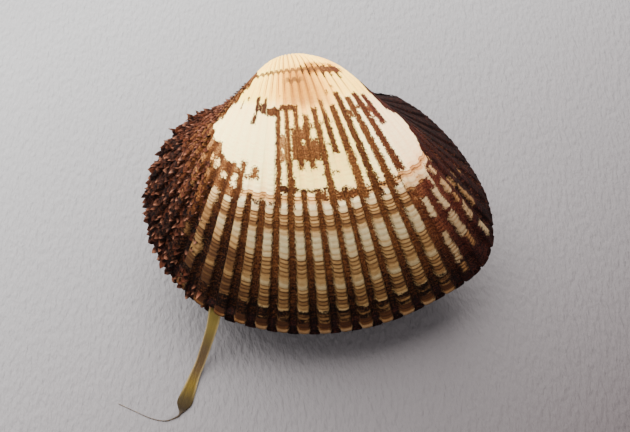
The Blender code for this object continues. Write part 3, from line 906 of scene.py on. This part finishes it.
def make_bristles(name, crest, side, seed):
    """Short stiff hairs in the furrows of the lower part, leaning towards the margin."""
    random = np.random.default_rng(seed)
    furrow = random.integers(*BRISTLE_RIBS, BRISTLES) + crest + 0.5
    rib = np.clip(furrow + random.normal(0, 0.13, BRISTLES), 0.1, RIBS - 0.1)
    turn = BRISTLE_FROM + BRISTLE_TURNS * random.random(BRISTLES) ** 1.35
    bm, corner = strand_template(2)
    base, across, down, out = standing(rib, turn, crest)
    down, across = turned(down, across, random.normal(0, 0.5, BRISTLES))
    stem, down = turned(down, out, np.radians(random.uniform(*BRISTLE_LEAN, BRISTLES)))
    length = BRISTLE_LENGTH * random.uniform(0.5, 1.3, BRISTLES)[:, None, None]
    points = (base[:, None] + across[:, None] * (corner[:, 0] * BRISTLE_THICK)[:, None]
              + down[:, None] * (corner[:, 1] * BRISTLE_THICK)[:, None]
              + stem[:, None] * corner[:, 2][:, None] * length)
    shade = np.clip(random.normal(0.68, 0.16, BRISTLES), 0.1, 1)
    pale = random.random(BRISTLES)[:, None] ** 4
    # The tips are lighter in their material: painted glints on the bristles
    fields = copy_fields(BRISTLES, len(corner), shade[:, None], corner[:, 2], corner[:, 2], pale)
    return stand(name, bm, points, side, fields)


def make_fibres(name, crest, side, seed):
    """Matted strands over the back, which run down the ribs and fray past the margin."""
    random = np.random.default_rng(seed)
    rib = random.uniform(FIBRE_RIB, RIBS - 0.15, FIBRES)
    start = random.uniform(0.02, 1.25, FIBRES)
    kept = (start <= read(BARE_LOW, rib)) | (start >= read(BARE_HIGH, rib))
    rib, start = rib[kept], start[kept]
    count = len(rib)
    bm, corner = strand_template(FIBRE_LEVELS)
    along = corner[:, 2][None]
    length = FIBRE_LENGTH * random.uniform(0.5, 1.4, count)[:, None]
    drift = random.normal(0, 0.22, count)[:, None]
    wave = random.uniform(0.02, 0.09, count)[:, None]
    phase = random.uniform(0, 6.28, count)[:, None]
    ribs = rib[:, None] + drift * along + wave * np.sin(phase + 7 * along)
    ribs = np.clip(ribs, 0.05, RIBS - 0.05)
    turns = start[:, None] - length * along
    turns = np.where(turns < -0.012, -0.012, turns)
    across, down, out = axes_at(ribs, turns)
    lift = surface_height(ribs, turns, crest) + 0.04 * MM
    lift = lift + along**3 * random.uniform(0, 0.25, count)[:, None] * MM * size_at(turns)
    thick = FIBRE_THICK * random.uniform(0.6, 1.5, count)[:, None] * size_at(turns) ** 0.4
    points = smooth_valve(ribs, turns)
    points[..., 2] += VALVE_GAP / 2
    points = points + out * (lift + corner[:, 1] * thick)[..., None]
    points = points + across * (corner[:, 0] * thick)[..., None]
    shade = np.clip(random.normal(0.72, 0.15, count), 0.1, 1)
    pale = 0.6 * random.random(count)[:, None] ** 4
    # The ends are lighter in their material: painted light, as on the scale tips
    fields = copy_fields(count, len(corner), shade[:, None], along, 0.0, pale)
    return stand(name, bm, points, side, fields)


def make_hinge_hairs(seed):
    """Black strings of skin that trail over the hinge behind the beaks, one of them curled up."""
    random = np.random.default_rng(seed)
    bm, corner = strand_template(FIBRE_LEVELS)
    along = corner[:, 2][None]
    start = random.uniform(0, 0.72, HAIRS)[:, None]
    reach = random.uniform(0.15, 0.35, HAIRS)[:, None]
    points = HAIRS_FROM + (HAIRS_TO - HAIRS_FROM) * (start + reach * along)[..., None]
    phase = random.uniform(0, 6.28, HAIRS)[:, None]
    rise = random.uniform(0.0, 0.3, HAIRS)[:, None] * np.sin(math.pi * along)
    points[..., 1] += HAIR_WAVE * np.sin(phase + 5 * along)
    points[..., 2] += (rise + random.uniform(-0.25, 0.15, HAIRS)[:, None]) * MM
    bend = CURL_TURN * along[0]
    curl = np.stack([np.cos(bend) - 1, 0 * bend, 1.4 * np.sin(bend) + 0.3 * along[0]], -1)
    points[0] = CURL_FROM + curl * CURL_REACH / 2
    points[..., 0] += corner[:, 0] * HAIR_THICK
    points[..., 2] += corner[:, 1] * HAIR_THICK
    return copies("hinge_hairs", bm, points, copy_fields(HAIRS, len(corner), 0.95, 0.0, 0.0, 0.0))


# Ligament and byssus

def make_ligament():
    """A horny lens on the flat strip between the beaks, cracked across."""
    along = np.linspace(-1, 1, LIGAMENT_ROWS)[:, None]
    angle = np.linspace(0, 2 * math.pi, LIGAMENT_CORNERS, endpoint=False)[None]
    reach = np.sqrt(np.clip(1.0 - along**2, 0.0004, 1))
    turn = LIGAMENT_TURN * reach * np.cos(angle) * (1 + 0.04 * rough(along * 9, angle * 0, 71))
    middle = (LIGAMENT_FRONT + LIGAMENT_BACK) / 2
    half = (LIGAMENT_BACK - LIGAMENT_FRONT) / 2
    flat = np.stack(np.broadcast_arrays(middle + half * along + 0 * angle, 0.0 * angle), -1)
    points = grown(flat, np.abs(turn))
    points[..., 2] *= np.sign(turn)
    cracks = LIGAMENT_CRACK * rough(along * 34 + angle * 0, angle * 1.5, 72)
    top = np.clip(np.sin(angle), 0, 1) ** 0.6
    thick = LIGAMENT_THICK * (0.15 + 0.85 * reach) * (0.85 + 0.15 * rough(along * 5, angle * 0, 73))
    points[..., 1] += LIGAMENT_GAP + top * (thick + cracks)
    growth = np.stack(np.meshgrid(np.arange(LIGAMENT_CORNERS + 1) * 0.25, along[:, 0] * 9), -1)
    return wrapped("horny_ligament", placed(points), {}, growth)


def make_byssus():
    """The flat strap and its thread: an oval section with fine ridges, drawn along the route."""
    path = even(catmull(BYSSUS_ROUTE, 1600), BYSSUS_ROWS) * MM
    forward = np.gradient(path[:, :3], axis=0)
    forward = forward / np.linalg.norm(forward, axis=1, keepdims=True)
    side = np.cross(forward, (0, 0, 1))
    side = side / np.linalg.norm(side, axis=1, keepdims=True)
    above = np.cross(side, forward)
    angle = np.linspace(0, 2 * math.pi, BYSSUS_CORNERS, endpoint=False)
    width = path[:, 3:]
    strand = np.arange(BYSSUS_ROWS)[:, None] * 0.02
    ridges = 1 + 0.05 * rough(angle * 2.2 + 20, strand, 81) + 0.03 * rough(angle * 4.5 + 20, strand * 2, 82)
    x = np.cos(angle) * width / 2 * (1 + 0.05 * rough(strand * 2.5, strand * 0 + np.sign(np.cos(angle)), 83))
    z = np.sin(angle) * np.minimum(BYSSUS_THICK * MM, width) / 2 * ridges
    free = ease(0, 0.12, 1 - strand / strand.max())
    sag = BYSSUS_SAG * np.minimum(width, 2 * MM) * np.sin(angle) ** 2 * free
    ring = path[:, None, :3] + side[:, None] * x[..., None] + above[:, None] * (z - sag)[..., None]
    share = np.repeat(np.linspace(0, 1, BYSSUS_ROWS)[:, None], BYSSUS_CORNERS, 1)
    edge = np.repeat(np.abs(np.cos(angle))[None], BYSSUS_ROWS, 0)
    growth = np.stack(np.meshgrid(np.arange(BYSSUS_CORNERS + 1) * 0.3, np.arange(BYSSUS_ROWS) * 0.12), -1)
    return wrapped("byssus_strap", ring, {"along": share, "edge": edge}, growth)


# Materials

def colour(*shown):
    """A colour given in display values up to 255, as linear light."""
    return (*[(c / 255 / 12.92 if c <= 10 else ((c / 255 + 0.055) / 1.055) ** 2.4) for c in shown], 1)


class Wire:
    """A socket whose arithmetic adds Math nodes."""

    def __init__(self, finish, socket):
        self.finish = finish
        self.socket = socket

    def sum(self, operation, a, b):
        return self.finish.add("ShaderNodeMath", {"operation": operation}, {0: a, 1: b})

    def __add__(self, other):
        return self.sum("ADD", self, other)

    __radd__ = __add__

    def __sub__(self, other):
        return self.sum("SUBTRACT", self, other)

    def __rsub__(self, other):
        return self.sum("SUBTRACT", other, self)

    def __mul__(self, other):
        return self.sum("MULTIPLY", self, other)

    __rmul__ = __mul__

    def one(self, operation):
        return self.finish.add("ShaderNodeMath", {"operation": operation}, {0: self})

    def most(self, other):
        return self.sum("MAXIMUM", self, other)

    def least(self, other):
        return self.sum("MINIMUM", self, other)

    def ease(self, low, high):
        """0 below low, 1 above high, smooth between them."""
        return self.finish.add(
            "ShaderNodeMapRange", {"interpolation_type": "SMOOTHSTEP"},
            {"Value": self, "From Min": low, "From Max": high, "To Min": 0.0, "To Max": 1.0},
        )


class Finish:
    """A material and its nodes."""

    def __init__(self, name):
        self.material = bpy.data.materials.new(name)
        self.material.use_nodes = True
        self.tree = self.material.node_tree
        self.shader = self.tree.nodes["Principled BSDF"]

    def add(self, kind, settings, sockets, output=0):
        """A node of this kind, with its settings made first. Gives the wire of one output."""
        node = self.tree.nodes.new(kind)
        for key, value in settings.items():
            if key == "stops":
                self.set_stops(node.color_ramp, value)
            else:
                setattr(node, key, value)
        self.connect(node, sockets)
        return Wire(self, node.outputs[output])

    def connect(self, node, sockets):
        for key, value in sockets.items():
            if isinstance(value, Wire):
                self.tree.links.new(value.socket, node.inputs[key])
            else:
                node.inputs[key].default_value = value

    def set_stops(self, ramp, stops):
        while len(ramp.elements) < len(stops):
            ramp.elements.new(0.5)
        for element, (place, tint) in zip(ramp.elements, stops):
            element.position = place
            element.color = tint

    def field(self, name):
        return self.add("ShaderNodeAttribute", {"attribute_name": name}, {}, "Fac")

    def growth(self, across, along):
        """The growth map, stretched: so many units a rib pitch across the ribs and along them."""
        uv = self.add("ShaderNodeUVMap", {"uv_map": "growth"}, {})
        return self.add("ShaderNodeMapping", {}, {"Vector": uv, "Scale": (across, along, 1)})

    def parts(self, vector):
        """The first two numbers of a vector."""
        return [self.add("ShaderNodeSeparateXYZ", {}, {"Vector": vector}, i) for i in (0, 1)]

    def place(self):
        return self.add("ShaderNodeTexCoord", {}, {}, "Object")

    def noise(self, vector, scale, detail, roughness):
        return self.add("ShaderNodeTexNoise", {}, {
            "Vector": vector, "Scale": scale, "Detail": detail, "Roughness": roughness})

    def ramp(self, value, stops):
        return self.add("ShaderNodeValToRGB", {"stops": stops}, {"Fac": value})

    def mix(self, share, a, b, blend="MIX"):
        return self.add("ShaderNodeMix", {"data_type": "RGBA", "blend_type": blend},
                        {0: share, 6: a, 7: b}, 2)

    def bump(self, height, distance, strength):
        return self.add("ShaderNodeBump", {}, {
            "Height": height, "Distance": distance, "Strength": strength})

    def end(self, **sockets):
        """Sets the shader's own sockets, named with _ for a space."""
        self.connect(self.shader, {key.replace("_", " "): value for key, value in sockets.items()})
        return self.material


SKIN_WARM = (
    (0.0, colour(142, 104, 60)), (0.3, colour(92, 56, 27)), (0.6, colour(66, 36, 17)),
    (1.0, colour(8, 4, 3)),
)
SKIN_RED = (
    (0.0, colour(98, 56, 38)), (0.3, colour(72, 33, 21)), (0.6, colour(49, 20, 14)),
    (1.0, colour(9, 4, 4)),
)
THREAD = SKIN_WARM[1][1]
SHELL_TONES = (
    (0.0, colour(255, 245, 190)), (0.25, colour(252, 222, 165)), (0.5, colour(236, 186, 118)),
    (0.75, colour(176, 126, 74)), (1.0, colour(112, 72, 42)),
)
ROSY = colour(236, 205, 200)
CREAM = colour(255, 236, 146)
# Colour of the painted shade over the bare shell of the lower part
PAINTED_SHADE_TONE = colour(12, 7, 5)
# Pale pinkish tips: partly their own colour, partly painted highlight
PALE_AND_LIT_TIP = colour(120, 80, 62)
HORN_TONES = ((0.25, colour(10, 7, 6)), (0.55, colour(28, 17, 12)), (0.8, colour(54, 37, 25)))
STRAP_TONES = (
    (0.0, colour(80, 70, 30)), (0.24, colour(84, 72, 34)), (0.36, colour(60, 48, 34)),
    (0.46, colour(56, 43, 26)), (0.53, colour(70, 56, 16)), (0.60, colour(38, 30, 13)),
    (0.66, colour(22, 16, 9)), (0.72, colour(52, 45, 38)), (1.0, colour(84, 78, 73)),
)
STRAP_STREAK = colour(40, 32, 18)
STRAP_EDGE = colour(124, 110, 78)
# The floor's own grey, darkening along the painted falloff of the light
FLOOR_PAINTED_LIGHT_TONES = ((0.0, colour(116, 117, 120)), (0.5, colour(84, 82, 85)), (0.9, colour(44, 38, 41)))

# Grains to a metre of each finish's noises, the depth of its relief and its sheen
SHELL_FINE = 5200.0
SHELL_FLECKS = 3600.0
SHELL_RELIEF = 0.14 * MM
SHELL_SHEEN = 0.05
PAPER_GRAIN = 2400.0
PAPER_FINE = 9000.0
PAPER_RELIEF = 0.08 * MM
PAPER_SHEEN = 0.04
HORN_GRAIN = 3000.0
HORN_RELIEF = 0.1 * MM
HORN_SHEEN = 0.08
STRAP_GRAIN = 1800.0
STRAP_RELIEF = 0.12 * MM
STRAP_SHEEN = 0.04
STRAP_GLOW = 0.6 * MM
FLOOR_GRAIN = 1500.0
FLOOR_RELIEF = 0.5 * MM


def valve_material(name):
    """Chalky bare shell and rough brown skin, by the fields of the fine valves."""
    finish = Finish(name)
    grain = finish.noise(finish.growth(3.0, 3.0), 2.0, 4.0, 0.6).ease(0.3, 0.7)
    fine = finish.noise(finish.place(), SHELL_FINE, 3.0, 0.6).ease(0.3, 0.7)
    growth_lines = finish.noise(finish.growth(0.9, 14.0), 1.0, 4.0, 0.7).ease(0.3, 0.7)
    furrow_lines = finish.noise(finish.growth(9.0, 0.35), 1.0, 3.0, 0.6).ease(0.3, 0.7)
    flecks = finish.noise(finish.place(), SHELL_FLECKS, 2.0, 0.5).ease(0.58, 0.68)
    skin_field = finish.field("skin")
    dark = finish.field("dark")
    dull = finish.field("dull")
    ragged = (grain - 0.5) * 0.10 + (growth_lines - 0.5) * 0.05 + (fine - 0.5) * (0.30 - 0.22 * dull)
    cover = (skin_field + ragged - flecks * (0.75 - dark).most(0.0) * 0.42).ease(0.38, 0.60)
    across, along = finish.parts(finish.growth(1.0, 1.0))
    off = (across.one("FRACT") - 0.5).one("ABSOLUTE")
    thread = off.ease(0.36, 0.47) * (growth_lines * 0.5 + 0.6) * finish.field("thread")
    wave = (off.ease(0.1, 0.5) - 0.5) * 0.16 + (grain - 0.5) * 0.10
    for turn, first, last in UMBO_LINES:
        ring = (along + wave - turn * PITCHES_A_TURN).one("ABSOLUTE").ease(0.58, 0.32)
        ring = ring * (0.8 + 0.3 * growth_lines)
        thread = thread.most(ring * across.ease(first, first + 1.5) * across.ease(last, last - 1.5))
    # The line at each step's upper end: partly a dark growth line, partly painted shadow under the next
    # step's edge
    line = finish.field("line") * (growth_lines * 0.7 + 0.45).least(1.0)
    tone = finish.field("tone") + (growth_lines - 0.5) * 0.10 + (grain - 0.5) * 0.06
    tone = tone + line * 0.55
    shell = finish.ramp(tone, SHELL_TONES)
    red = finish.field("red")
    shell = finish.mix(red * 0.7, shell, ROSY, "MULTIPLY")
    shell = finish.mix(finish.field("cream"), shell, CREAM, "MULTIPLY")
    shell = finish.mix((thread * 0.92).least(0.92), shell, THREAD)
    # Painted shade: the bare shell of the lower part darkens towards the margin
    shell = finish.mix(dull, shell, PAINTED_SHADE_TONE)
    depth = dark + (growth_lines - 0.5) * 0.24 + (fine - 0.5) * 0.42 + (grain - 0.5) * 0.20 + line * 0.2
    depth = depth + (furrow_lines - 0.5) * 0.12 + (1.0 - skin_field.ease(0.5, 0.68)) * 0.14
    skin = finish.mix(red, finish.ramp(depth, SKIN_WARM), finish.ramp(depth, SKIN_RED))
    height = cover * 0.5 + growth_lines * (0.35 - 0.15 * cover) + fine * (0.08 + cover * 0.3)
    height = height + furrow_lines * 0.15
    return finish.end(
        Base_Color=finish.mix(cover, shell, skin),
        Roughness=0.5 + cover * 0.15 + fine * 0.08,
        Normal=finish.bump(height, SHELL_RELIEF, 0.7),
        Specular_IOR_Level=SHELL_SHEEN,
    )


def scale_material():
    """Dark brown papery skin, lighter and pinkish at raised tips and rims: painted light on tips and rims,
    painted shade at the roots, and pale tips that are partly their own colour, partly painted highlight.
    """
    finish = Finish("papery_skin")
    grain = finish.noise(finish.place(), PAPER_GRAIN, 3.0, 0.6).ease(0.3, 0.7)
    fine = finish.noise(finish.place(), PAPER_FINE, 2.0, 0.5).ease(0.3, 0.7)
    tip = finish.field("tip")
    # Painted light and shade: darker at the roots, lighter towards the tips and at the rims
    depth = finish.field("shade") + 0.30 + (grain - 0.5) * 0.20 + (fine - 0.5) * 0.12 - tip * 0.50
    depth = depth - finish.field("rim").ease(0.6, 1.05) * 0.10
    skin = finish.mix(0.7, finish.ramp(depth, SKIN_WARM), finish.ramp(depth, SKIN_RED))
    # Pale pinkish tips: partly their own colour, partly painted highlight
    pale = (tip.ease(0.35, 1.0) * finish.field("pale")).least(0.8)
    return finish.end(
        Base_Color=finish.mix(pale, skin, PALE_AND_LIT_TIP),
        Roughness=0.6 + grain * 0.2,
        Normal=finish.bump(grain + fine * 0.5, PAPER_RELIEF, 0.6),
        Specular_IOR_Level=PAPER_SHEEN,
    )


def ligament_material():
    """Dull black-brown horn with cracks across it."""
    finish = Finish("horn")
    cracks = finish.noise(finish.growth(0.6, 3.0), 1.5, 4.0, 0.7)
    grain = finish.noise(finish.place(), HORN_GRAIN, 3.0, 0.6)
    return finish.end(
        Base_Color=finish.ramp(cracks + (grain - 0.5) * 0.3, HORN_TONES),
        Roughness=0.45 + grain * 0.3,
        Normal=finish.bump(cracks + grain * 0.3, HORN_RELIEF, 0.7),
        Specular_IOR_Level=HORN_SHEEN,
    )


def byssus_material():
    """Olive strap, brown in its middle, golden further down and dark at its end, with pale edges."""
    finish = Finish("strap_fibre")
    along = finish.field("along")
    strands = finish.noise(finish.growth(1.6, 0.12), 1.0, 3.0, 0.6)
    grain = finish.noise(finish.place(), STRAP_GRAIN, 3.0, 0.6)
    tint = finish.ramp(along + (strands - 0.5) * 0.06, STRAP_TONES)
    edge = finish.field("edge").ease(0.6, 1.0) * (1 - along.ease(0.5, 0.62)) * (0.4 + strands * 0.5)
    streak = finish.mix((strands - 0.3) * 0.8, tint, STRAP_STREAK)
    return finish.end(
        Base_Color=finish.mix(edge.least(0.7), streak, STRAP_EDGE),
        Roughness=0.6 + grain * 0.25,
        Normal=finish.bump(strands + grain * 0.4, STRAP_RELIEF, 0.6),
        Subsurface_Weight=0.25,
        Subsurface_Radius=(0.6, 0.4, 0.2),
        Subsurface_Scale=STRAP_GLOW,
        Specular_IOR_Level=STRAP_SHEEN,
    )


# Floor, light and camera

def make_floor():
    bm = bmesh.new()
    bmesh.ops.create_grid(bm, x_segments=1, y_segments=1, size=FLOOR_HALF)
    mesh = bpy.data.meshes.new("floor")
    bm.to_mesh(mesh)
    bm.free()
    floor = finished("floor", mesh)
    finish = Finish("pale_paper")
    along_weave = finish.add("ShaderNodeMapping", {}, {
        "Vector": finish.place(), "Rotation": (0, 0, FLOOR_WEAVE_TURN), "Scale": FLOOR_WEAVE_STRETCH})
    weave = finish.noise(along_weave, FLOOR_GRAIN, 2.0, 0.5)
    # Painted falloff of the light: the floor darkens to the right and to the front
    right, back = finish.parts(finish.place())
    finish.end(
        Base_Color=finish.ramp(right * PAINTED_FALLOFF_RIGHT - back * PAINTED_FALLOFF_FRONT + 0.5, FLOOR_PAINTED_LIGHT_TONES),
        Roughness=0.85,
        Normal=finish.bump(weave, FLOOR_RELIEF, 0.8),
    )
    floor.data.materials.append(finish.material)


def make_light(name, place, size, power, tint):
    light = bpy.data.lights.new(name, "AREA")
    light.size = size
    light.energy = power
    light.color = tint
    lamp = bpy.data.objects.new(name, light)
    lamp.location = place
    lamp.rotation_euler = (LIGHTS_AIM - Vector(place)).to_track_quat("-Z", "Y").to_euler()
    bpy.context.scene.collection.objects.link(lamp)


def make_lights():
    for name, light in LIGHTS.items():
        make_light(name, *light)
    world = bpy.data.worlds.new("room")
    world.use_nodes = True
    background = world.node_tree.nodes["Background"]
    background.inputs["Color"].default_value = ROOM_TINT
    background.inputs["Strength"].default_value = ROOM_LIGHT
    bpy.context.scene.world = world


def make_camera():
    camera = bpy.data.cameras.new("camera")
    camera.lens = CAMERA_LENS
    camera.shift_x, camera.shift_y = CAMERA_SHIFT
    holder = bpy.data.objects.new("camera", camera)
    turn = CAMERA_ALONG.to_track_quat("-Z", "Y").to_matrix().to_4x4()
    holder.matrix_world = Matrix.Translation(CAMERA_PLACE) @ turn @ Matrix.Rotation(CAMERA_ROLL, 4, "Z")
    bpy.context.scene.collection.objects.link(holder)
    bpy.context.scene.camera = holder


def show(piece, material, replaced=None):
    """Gives a piece its material, puts it under the root body, and hides the part that it replaces."""
    piece.data.materials.append(material)
    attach(piece, "root")
    if replaced:
        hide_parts(replaced)


make_camera()
make_floor()
make_lights()
shell_finish = valve_material("shell_and_skin")
left = make_valve("left_shell", LEFT_CREST, left_skin, WORN_LEFT, 1)
show(left, shell_finish, "left_valve")
right = make_valve("right_shell", RIGHT_CREST, right_skin, WORN_RIGHT, -1)
show(right, shell_finish, "right_valve")
skin_finish = scale_material()
for maker, kind, seed in ((make_scales, "scales", 101), (make_bristles, "bristles", 103),
                          (make_fibres, "fibres", 105)):
    show(maker(f"left_{kind}", LEFT_CREST, 1, seed), skin_finish)
    show(maker(f"right_{kind}", RIGHT_CREST, -1, seed + 1), skin_finish)
show(make_hinge_hairs(107), skin_finish)
show(make_ligament(), ligament_material(), "ligament")
show(make_byssus(), byssus_material(), "byssus")
